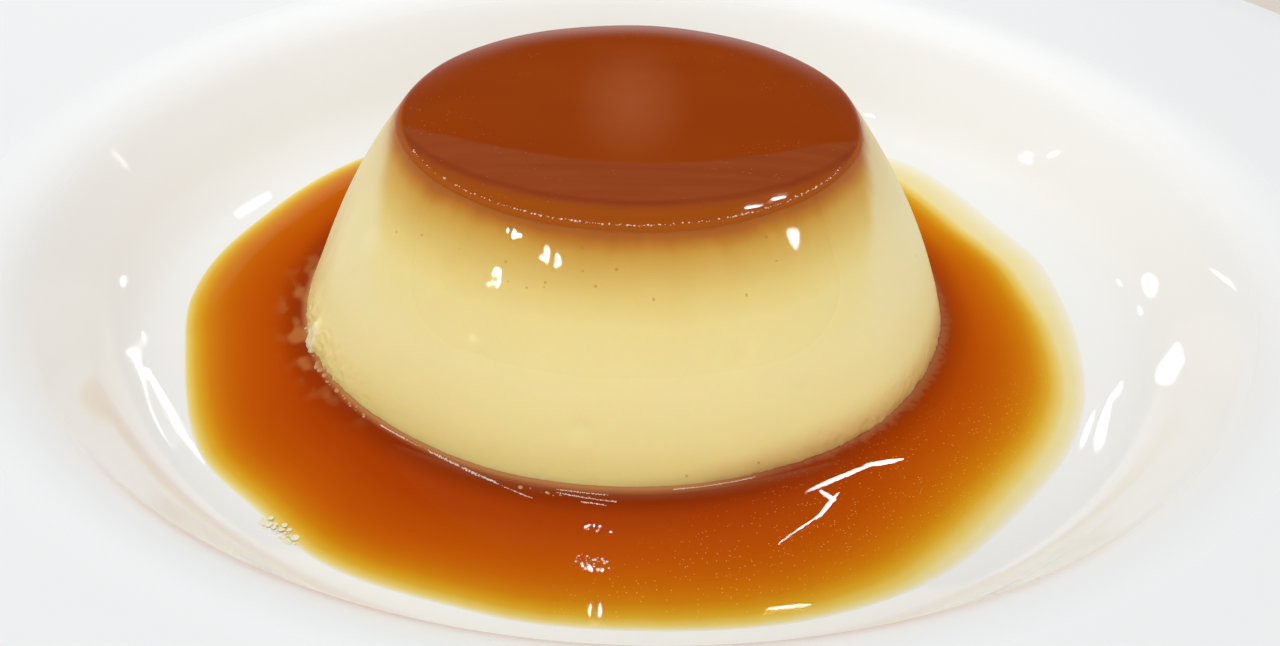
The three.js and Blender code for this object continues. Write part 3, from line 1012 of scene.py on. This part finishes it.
# The paler streaked crescent at the front of the top is a painted reflection of the room.
PAINTED_REFLECTION_CARAMEL = (srgb(138, 58, 22), srgb(154, 74, 33))
PAINTED_REFLECTION_START = (15.5, 16.5)
PAINTED_REFLECTION_ROUNDING = 80
LIP_CARAMEL = srgb(158, 76, 14)
LIP_CENTRE = (0, 6.8, 0)
LIP_RADII = (31.9, 34)
LIP_UNEVENNESS = 0.8
LINE_CARAMEL = srgb(128, 46, 12)
LINE_BAND = (31.1, 31.9, 32, 32.9)
LINE_STRENGTH = 0.4
SIDE_CARAMEL = (srgb(182, 105, 26), srgb(164, 81, 15))
SIDE_RADII = (29.1, 29.4)
SIDE_HEIGHTS = (CARAMEL_BOTTOM - 0.3, CARAMEL_BOTTOM + 1.2)
BUBBLE_CARAMEL = srgb(190, 105, 60)
BUBBLE_SPACING = 0.8
BUBBLE_SIZE = (0.1, 0.17, 1, 0)
BUBBLE_RADII = (14, 18)
BUBBLE_PATCHES = (0.5, 0.62)
BUBBLE_STRENGTH = 0.6
COAT_RADII = (28.9, 29.3, 0.42, 0.05)


def caramel():
    """Dark and smooth on top, with a painted reflection at the front as a paler streaked crescent, a lip
    there and an amber side.
    """
    material, tree = new_material("caramel_layer")
    place = tree.place()
    level = tree.vector("MULTIPLY", tree.vector("SUBTRACT", place, FLAN_FOOT), LEVEL_MM)
    radius = tree.vector("LENGTH", level, output="Value")
    wobble = tree.noise(place, 7, 3) - 0.5

    dark = tree.mix(tree.noise(tree.stretched(place, (0.5, 1.4, 1)), 9, 4), *DARK_CARAMEL)
    rightward = tree.axis(level, "X")
    # Painted reflection: past a curved line at the front, the top turns paler and streaked.
    forward = rightward.output("Y") * -1 + rightward * rightward / PAINTED_REFLECTION_ROUNDING + wobble
    painted_reflection = tree.mix(tree.noise(tree.stretched(place, (0.15, 1.6, 1)), 3, 3), *PAINTED_REFLECTION_CARAMEL)
    with_painted_reflection = tree.mix(tree.between(forward, *PAINTED_REFLECTION_START), dark, painted_reflection)

    lip_radius = tree.vector("DISTANCE", level, LIP_CENTRE, "Value") + wobble * LIP_UNEVENNESS
    edged = tree.mix(tree.between(lip_radius, *LIP_RADII), with_painted_reflection, LIP_CARAMEL)
    lined = tree.mix(tree.band(lip_radius, *LINE_BAND) * LINE_STRENGTH, edged, LINE_CARAMEL)
    side = tree.mix(tree.between(tree.axis(place, "Z") / MM, *SIDE_HEIGHTS), *SIDE_CARAMEL)
    sided = tree.mix(tree.between(radius, *SIDE_RADII), lined, side)

    dots = tree.between(tree.cells(place, BUBBLE_SPACING), *BUBBLE_SIZE)
    patches = tree.between(tree.noise(place, 5, 1), *BUBBLE_PATCHES)
    bubbles = dots * patches * tree.between(radius, *BUBBLE_RADII)
    tree.surface({
        "Base Color": tree.mix(bubbles * BUBBLE_STRENGTH, sided, BUBBLE_CARAMEL),
        "Roughness": 0.1,
        "Specular IOR Level": 0.03,
        "Coat Weight": tree.between(radius, *COAT_RADII),
        "Coat Roughness": 0.05,
    })
    return material


# The syrup's colour by its depth
SYRUP_STAIN = [
    (0, (241, 239, 231)), (0.35, (236, 221, 162)), (0.85, (231, 201, 102)), (1.7, (220, 169, 46)),
    (2.6, (213, 147, 24)), (3.5, (207, 127, 15)), (4.5, (203, 115, 11)), (6, (197, 101, 9)),
    (7.7, (192, 91, 8)), (10, (187, 81, 6)), (13, (180, 73, 5)), (16, (171, 63, 4)),
    (20, (165, 58, 4)),
]
FLAN_SHADE = srgb(138, 45, 5)
FLAN_SHADE_REACH = (1, 5.5, 1, 0)
FLAN_SHADE_FADING_RIGHT = (5, 32, 1, 0.4)
FLAN_SHADE_FADING_LEFT = (-40, -15, 0.7, 1)
SUNK_CRUMB = srgb(188, 120, 64)
SUNK_STRENGTH = 0.7
TORN_FOOT = srgb(172, 96, 46)
TORN_FOOT_EDGE = (0.58, 0.78)
CLIMBING_FILM = srgb(194, 130, 66)
CLIMBING_FILM_REACH = (0, 1.2, 0.85, 0)
CLIMBING_FILM_SIDES = (6, 20, 1, 0.2)
GOLD_SPECK = srgb(244, 190, 110)
GOLD_SPECK_SPACING = 0.5
GOLD_SPECK_SIZE = (0.1, 0.2, 1, 0)
GOLD_SPECK_BAND = (37, 46, 50, 60, 0.3)
GOLD_SPECK_RARITY = 0.35
GOLD_SPECK_STRENGTH = 0.5
FRONT_RIGHT = (0.6, -0.8, 0)
COAT_FROM_FLAN = (0.6, 2.4, 1, 0)


def syrup_color(tree, place, from_flan):
    """Deeper is darker, with the flan's dark shade, its torn foot, crumbs and a film climbing it."""
    amber = tree.graded(tree.attribute("depth"), SYRUP_STAIN)
    sideways = tree.axis(place, "X") / MM
    shade = tree.between(sideways, *FLAN_SHADE_FADING_RIGHT)
    shade = shade * tree.between(sideways, *FLAN_SHADE_FADING_LEFT)
    shaded = tree.mix(tree.between(from_flan, *FLAN_SHADE_REACH) * shade, amber, FLAN_SHADE)

    sunken = tree.mix(tree.attribute("sunk_crumbs") * SUNK_STRENGTH, shaded, SUNK_CRUMB)
    torn = tree.attribute("torn_foot")
    ragged = tree.between(tree.noise(place, 1.1, 4) + torn * 0.3, *TORN_FOOT_EDGE) * torn
    footed = tree.mix(ragged * SUNK_STRENGTH, sunken, TORN_FOOT)
    climbing = tree.between(from_flan, *CLIMBING_FILM_REACH)
    climbing = climbing * tree.between(sideways, *CLIMBING_FILM_SIDES)
    filmed = tree.mix(climbing, footed, CLIMBING_FILM)

    toward_front_right = tree.vector("DOT_PRODUCT", place, FRONT_RIGHT, "Value") / MM
    cells = tree.cells(place, GOLD_SPECK_SPACING)
    specks = tree.between(cells, *GOLD_SPECK_SIZE) * (tree.chance(cells) > GOLD_SPECK_RARITY)
    specks = specks * tree.band(toward_front_right, *GOLD_SPECK_BAND)
    return tree.mix(specks * GOLD_SPECK_STRENGTH, filmed, GOLD_SPECK)


def syrup():
    """Clear amber, very glossy except where it climbs the flan."""
    material, tree = new_material("caramel_sauce")
    place = tree.place()
    from_flan = tree.attribute("from_flan")
    tree.surface({
        "Base Color": syrup_color(tree, place, from_flan),
        "Roughness": 0.03,
        "Specular IOR Level": 0.03,
        "Coat Weight": tree.between(from_flan, *COAT_FROM_FLAN),
        "Coat Roughness": 0.03,
        "Normal": tree.bump(tree.noise(place, 6), 0.003),
    })
    return material


def wet_finish(name, clouds, tints, roughness, coat=1.0, coat_roughness=0.03, more=None):
    """A wet finish for small grains, clouded in two tints. Clouds are their size and detail."""
    material, tree = new_material(name)
    tree.surface({
        "Base Color": tree.mix(tree.noise(tree.place(), *clouds), *tints),
        "Roughness": roughness,
        "Coat Weight": coat,
        "Coat Roughness": coat_roughness,
        **(more or {}),
    })
    return material


def wet_custard():
    glow = {"Subsurface Weight": 0.4, "Subsurface Radius": CUSTARD_GLOW, "Subsurface Scale": 0.001}
    tints = (srgb(198, 140, 78), srgb(226, 192, 126))
    return wet_finish("wet_custard", (1.2, 2), tints, 0.15, 0.8, 0.05, glow)


def amber_drop():
    return wet_finish("amber_drop", (0.8, 2), (srgb(172, 96, 38), srgb(216, 164, 98)), 0.08)


def thin_syrup():
    return wet_finish("thin_syrup", (1.5, 1), (srgb(242, 229, 168), srgb(250, 247, 232)), 0.05, 0.6)


# Near-white beads: real foam whose colour also paints glints.
def foam_and_painted_glints():
    return wet_finish("caramel_foam_and_painted_glints", (1, 1), (srgb(215, 150, 95), srgb(252, 236, 214)), 0.1)


# Near-white froth: real froth whose colour also paints glints.
def froth_and_painted_glints():
    return wet_finish("froth_and_painted_glints", (1.4, 2), (srgb(226, 176, 134), srgb(255, 254, 252)), 0.1)


# ---------------------------------------------------------------- setting

# The camera looks towards +Y and down by its tilt, and rolls about its own line of sight
CAMERA_POSITION = Vector((0.21864, -172.784, 121.778))
CAMERA_TILT = 33.5676
CAMERA_ROLL = 1.8563
CAMERA_LENS = 42.1875
CAMERA_SENSOR = 36
CAMERA_DISTANCE = 200

TO_THE_RIGHT = Vector((1, 0, 0))
STRAIGHT_UP = Vector((0, 0, 1))
DISH_MIDDLE = (0, 0, 20)
# Lamps for the whole dish: name, place, width and brightness
WIDE_LAMPS = [
    ("soft_box", (-110, 320, 400), 380, 2.9),
    ("front_fill", (0, -480, 210), 300, 1.5),
]
# The warm patch in the caramel's top: its lamp's distance, width, brightness, spread and colour
WARM_GLOW = (500, 90, 1.2, 4.6, (1, 0.5, 0.25))
# How widely a glint's lamp shines, in degrees: at least, and by how far the mirroring surface turns
LEAST_SPREAD = 3.5
SPREAD_MARGIN = 1.4
SPREAD_PER_TURN = 1.6
SPARKLE_SEED = 4

# The room is brightest above and before the dish, has a dark flag behind it and is even low down
BRIGHT_SIDE = (0, -0.3, 0.954)
BRIGHTNESS = (-0.4, 0.75, 0.33, 0.93)
FLAG_SIDE = (0, 0.79, 0.61)
FLAG_RANGE = (0.72, 0.95)
FLAG_DARKNESS = 0.93
LOW_RANGE = (0, 0.3, 1, 0)
LOW_BRIGHTNESS = 0.68
TABLE_WIDTH = 6
TABLE_COLOR = (0.72, 0.66, 0.58, 1)


def slope(height_at, place, step):
    return float(height_at(place + step) - height_at(place - step)) / (2 * step)


def facing(slope_x, slope_y):
    """The way a surface faces that rises by these slopes."""
    return Vector((-slope_x, -slope_y, 1)).normalized()


# Each of these gives a point, the way the surface faces there and how sharply it bends (1 / radius)


def on_plate(x, y):
    radius = math.hypot(x, y)
    rise = slope(plate_height, radius, 0.3) / radius
    return Vector((x, y, plate_height(radius))), facing(rise * x, rise * y), 0


def on_sauce(x, y):
    rise_x = slope(lambda across: sauce_level(across, y), x, 0.1)
    rise_y = slope(lambda away: sauce_level(x, away), y, 0.1)
    return Vector((x, y, sauce_level(x, y))), facing(rise_x, rise_y), 0


def on_side(degrees, height):

    def point(turned, raised):
        angle = math.radians(degrees + turned)
        place = height + raised
        radius = flan_radius(angle, place) - dents(angle, place)
        return Vector((FLAN_X + radius * math.cos(angle), FLAN_Y + radius * math.sin(angle), place))

    across = point(0.4, 0) - point(-0.4, 0)
    upward = point(0, 0.3) - point(0, -0.3)
    return point(0, 0), across.cross(upward).normalized(), 1 / side_radius(height)


def on_crown(degrees, radius):
    angle = math.radians(degrees)
    outward = Vector((math.cos(angle), math.sin(angle), 0))
    rise = outward * slope(crown_height, radius, 0.1)
    point = Vector((FLAN_X, FLAN_Y, float(crown_height(radius)))) + outward * radius
    bend = 2 * CARAMEL_CROWN / ((1 - CROWN_START_SHARE) * FLAN_TOP_RADIUS) ** 2
    return point, facing(rise.x, rise.y), bend


def mirrored(point, normal):
    """Direction of what the camera sees mirrored at a point."""
    toward_camera = (CAMERA_POSITION - point).normalized()
    return 2 * normal.dot(toward_camera) * normal - toward_camera


def lamp(name, position, across, size, brightness, spread=180, color=(1, 1, 1), target=DISH_MIDDLE):
    """An oval lamp. Brightness 1 is that of a lit white wall.

    A grid before it keeps its light within `spread` degrees.
    """
    data = bpy.data.lights.new(name, "AREA")
    data.shape = "ELLIPSE"
    data.size, data.size_y = (side * MM for side in size)
    data.spread = math.radians(spread)
    half_spread = data.spread / 2
    through_grid = 1 if spread == 180 else 1 - half_spread / math.tan(half_spread)
    data.energy = brightness * through_grid * math.pi * (math.pi / 4 * data.size * data.size_y)
    data.color = color
    lamp_object = bpy.data.objects.new(name, data)
    away = (position - Vector(target)).normalized()
    across = (across - across.dot(away) * away).normalized()
    rotation = Matrix((across, away.cross(across), away)).transposed().to_4x4()
    lamp_object.matrix_world = Matrix.Translation(position * MM) @ rotation
    bpy.context.scene.collection.objects.link(lamp_object)
    return lamp_object


def glint(name, ends, width, brightness, distance):
    """The lamp that is mirrored from one point of the dish to another, or at one point, as a glint."""
    directions = [mirrored(point, normal) for point, normal, _ in ends]
    seen = [end[0] + direction * distance for end, direction in zip(ends, directions)]
    middle = (seen[0] + seen[-1]) / 2
    target = (ends[0][0] + ends[-1][0]) / 2
    turning = 2 * ends[0][2] + 1 / CAMERA_DISTANCE
    thickness = width * (1 + distance * turning)
    along = seen[-1] - seen[0] if len(ends) == 2 else (middle - target).cross(STRAIGHT_UP)
    length = along.length if len(ends) == 2 else thickness
    turned = math.degrees(width * turning + directions[0].angle(directions[-1]))
    spread = max(SPREAD_MARGIN + SPREAD_PER_TURN * turned, LEAST_SPREAD)
    lamp(name, middle, along, (length, thickness), brightness, spread, target=target)


# Glints: where on the dish, how wide, how bright their lamp is and how far away
GLINTS = [
    ([on_sauce(20, -39.1), on_sauce(28.2, -33.7)], 0.42, 250, 10),
    ([on_sauce(27.4, -33.9), on_sauce(32, -32.5)], 0.5, 250, 16),
    ([on_sauce(21.6, -38.9), on_sauce(23.3, -40.5)], 0.5, 250, 14),
    ([on_sauce(23.3, -39.8), on_sauce(21.1, -43.4)], 0.5, 250, 16),
    ([on_sauce(21.7, -42.6), on_sauce(16.7, -47.7)], 0.22, 250, 18),
    ([on_sauce(14.3, -57.8), on_sauce(19.3, -56.8)], 0.17, 400, 6),
    ([on_sauce(-4, -58.1), on_sauce(-4, -59.1)], 0.25, 800, 6),
    ([on_sauce(-3, -58), on_sauce(-3, -59.2)], 0.35, 800, 6),
    ([on_crown(-60.6, 28.2), on_crown(-56.6, 28.8)], 0.3, 120, 50),
    ([on_crown(-53.2, 28.1), on_crown(-49.4, 28.7)], 0.3, 120, 50),
    ([on_side(-117, 24.5)], 0.6, 60, 30),
    ([on_side(-67, 24.9)], 0.6, 60, 30),
    ([on_side(-150.6, 28.6), on_side(-150.2, 27.2)], 0.3, 120, 30),
    ([on_plate(-60, 21.9), on_plate(-57.3, 27)], 1.9, 20, 15),
    ([on_plate(-64.9, -15.1), on_plate(-61.3, -21.8)], 0.25, 16, 12),
    ([on_plate(-61.3, -21.8), on_plate(-55.5, -29.7)], 0.35, 20, 12),
    ([on_plate(-55.5, -29.7), on_plate(-51.1, -35.1)], 0.25, 16, 12),
    ([on_plate(-61.2, -20.2), on_plate(-57, -26.6)], 0.2, 16, 12),
    ([on_plate(-75.2, 15.5), on_plate(-72.9, 15)], 0.25, 14, 12),
    ([on_plate(-69, -3.8)], 0.9, 20, 15),
    ([on_plate(-38.6, 66.4)], 1.3, 30, 20),
    ([on_plate(18.9, 74.3)], 1.3, 30, 20),
    ([on_plate(33.6, 72)], 1.2, 30, 20),
    ([on_plate(37.6, 56.8)], 1.2, 30, 20),
    ([on_plate(59.5, 37.5)], 2.2, 20, 15),
    ([on_plate(62.3, 35.5), on_plate(63.8, 34.8)], 0.5, 14, 15),
    ([on_plate(75.5, 12.6)], 1, 16, 15),
    ([on_plate(78, 6), on_plate(78.2, 2.7)], 0.8, 20, 15),
    ([on_plate(70, 3.7), on_plate(69.5, 1.2)], 1, 20, 15),
    ([on_plate(67.1, 6.6)], 0.7, 10, 15),
    ([on_plate(67.9, -1.2)], 0.9, 10, 15),
    ([on_plate(75, -5), on_plate(75.3, -9.7)], 0.35, 18, 12),
    ([on_plate(66.1, -17.5), on_plate(69.1, -13.9)], 0.6, 20, 12),
    ([on_plate(60.9, -17.6), on_plate(62.3, -15.3)], 0.35, 14, 12),
    ([on_plate(55.2, -26.2), on_plate(57.2, -21.7)], 0.4, 14, 12),
    ([on_plate(56.9, -26.7), on_plate(59.7, -19.4)], 0.55, 18, 12),
]

# Groups of small glints: about where, how far they scatter, how many, smallest and largest,
# brightness of their lamps and how far these are
SPARKLES = [
    (on_sauce, (-4.5, -46.4), (1, 0.4), 14, 0.08, 0.25, 300, 8),
    (on_sauce, (-4.4, -53.1), (0.7, 0.35), 11, 0.2, 0.45, 330, 6),
    (on_side, (-115.2, 31.2), (0.8, 0.55), 13, 0.2, 0.5, 150, 20),
    (on_side, (-114.2, 35.4), (0.9, 0.15), 8, 0.2, 0.4, 320, 15),
    (on_side, (-106.1, 34), (0.35, 0.6), 8, 0.2, 0.4, 150, 20),
    (on_side, (-103.7, 33.7), (0.2, 0.4), 5, 0.2, 0.35, 250, 20),
    (on_side, (-51.7, 33.9), (0.6, 0.8), 12, 0.2, 0.45, 150, 20),
    (on_sauce, (-3.5, -60.4), (0.5, 0.3), 6, 0.1, 0.22, 200, 3),
]


def make_camera():
    data = bpy.data.cameras.new("camera")
    data.lens = CAMERA_LENS
    data.sensor_width = CAMERA_SENSOR
    data.sensor_fit = "HORIZONTAL"
    data.clip_start = 0.01
    data.clip_end = 20
    camera = bpy.data.objects.new("camera", data)
    tilted = Matrix.Rotation(math.radians(90 - CAMERA_TILT), 4, "X")
    rolled = Matrix.Rotation(math.radians(CAMERA_ROLL), 4, "Z")
    camera.matrix_world = Matrix.Translation(CAMERA_POSITION * MM) @ tilted @ rolled
    bpy.context.scene.collection.objects.link(camera)
    bpy.context.scene.camera = camera


def light_the_dish():
    for name, place, width, brightness in WIDE_LAMPS:
        wide_lamp = lamp(name, Vector(place), TO_THE_RIGHT, (width, width), brightness)
        wide_lamp.visible_glossy = False
    distance, width, brightness, spread, color = WARM_GLOW
    flan_top = Vector((FLAN_X, FLAN_Y, CARAMEL_EDGE + CARAMEL_CROWN))
    place = flan_top + mirrored(flan_top, STRAIGHT_UP) * distance
    lamp("warm_glow", place, TO_THE_RIGHT, (width, width), brightness, spread, color, flan_top)
    for index, row in enumerate(GLINTS):
        glint(f"glint_{index}", *row)
    chance = np.random.default_rng(SPARKLE_SEED)
    for group, row in enumerate(SPARKLES):
        surface, about, scatter, count, smallest, largest, brightness, distance = row
        for index in range(count):
            place = surface(*(about + scatter * chance.normal(size=2)))
            size = smallest + (largest - smallest) * chance.random() ** 2
            glint(f"sparkle_{group}_{index}", [place], size, brightness, distance)


def make_room():
    world = bpy.data.worlds.new("soft_studio")
    bpy.context.scene.world = world
    world.use_nodes = True
    tree = Tree(world.node_tree)
    direction = tree.node("ShaderNodeTexCoord", output="Generated")
    toward_light = tree.vector("DOT_PRODUCT", direction, BRIGHT_SIDE, "Value")
    flag = tree.between(tree.vector("DOT_PRODUCT", direction, FLAG_SIDE, "Value"), *FLAG_RANGE)
    glow = tree.between(toward_light, *BRIGHTNESS) * (1 - flag * FLAG_DARKNESS)
    low = tree.between(tree.axis(direction, "Z"), *LOW_RANGE)
    glow = glow + (LOW_BRIGHTNESS - glow) * low
    background = tree.node("ShaderNodeBackground", None, {"Color": (1, 1, 1, 1), "Strength": glow})
    tree.node("ShaderNodeOutputWorld", None, {"Surface": background})

    bpy.ops.mesh.primitive_plane_add(size=TABLE_WIDTH)
    table = bpy.context.object
    table.name = "table"
    material, tree = new_material("pale_table")
    tree.surface({"Base Color": TABLE_COLOR, "Roughness": 0.6})
    table.data.materials.append(material)


# Grains: piece, rows, finish, slot and how finely each grain is rounded
GRAINS = [
    ("lip_bubbles_and_glints", LIP_BUBBLES_AND_GLINTS, foam_and_painted_glints, "caramel", 1),
    ("waterline_froth_and_glints", WATERLINE_FROTH_AND_GLINTS, froth_and_painted_glints, "caramel_sauce", 1),
    ("custard_crumbs", CUSTARD_CRUMBS, wet_custard, "custard", 2),
    ("amber_drops", AMBER_DROPS, amber_drop, "caramel_sauce", 2),
    ("syrup_splashes", SPLASHES, thin_syrup, "caramel_sauce", 2),
]

make_camera()
make_room()
light_the_dish()
glaze = porcelain()
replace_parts(dress(make_plate(glaze), glaze), "plate")
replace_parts(dress(make_custard(), custard()), "custard")
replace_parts(dress(make_caramel(), caramel()), "caramel_top")
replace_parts(dress(make_sauce(), syrup()), "sauce")
for name, rows, finish, slot, fineness in GRAINS:
    material = finish()
    dress(strewn(name, rows, material, fineness), material)

scene = bpy.context.scene
scene.view_settings.view_transform = "Standard"
scene.view_settings.look = "None"
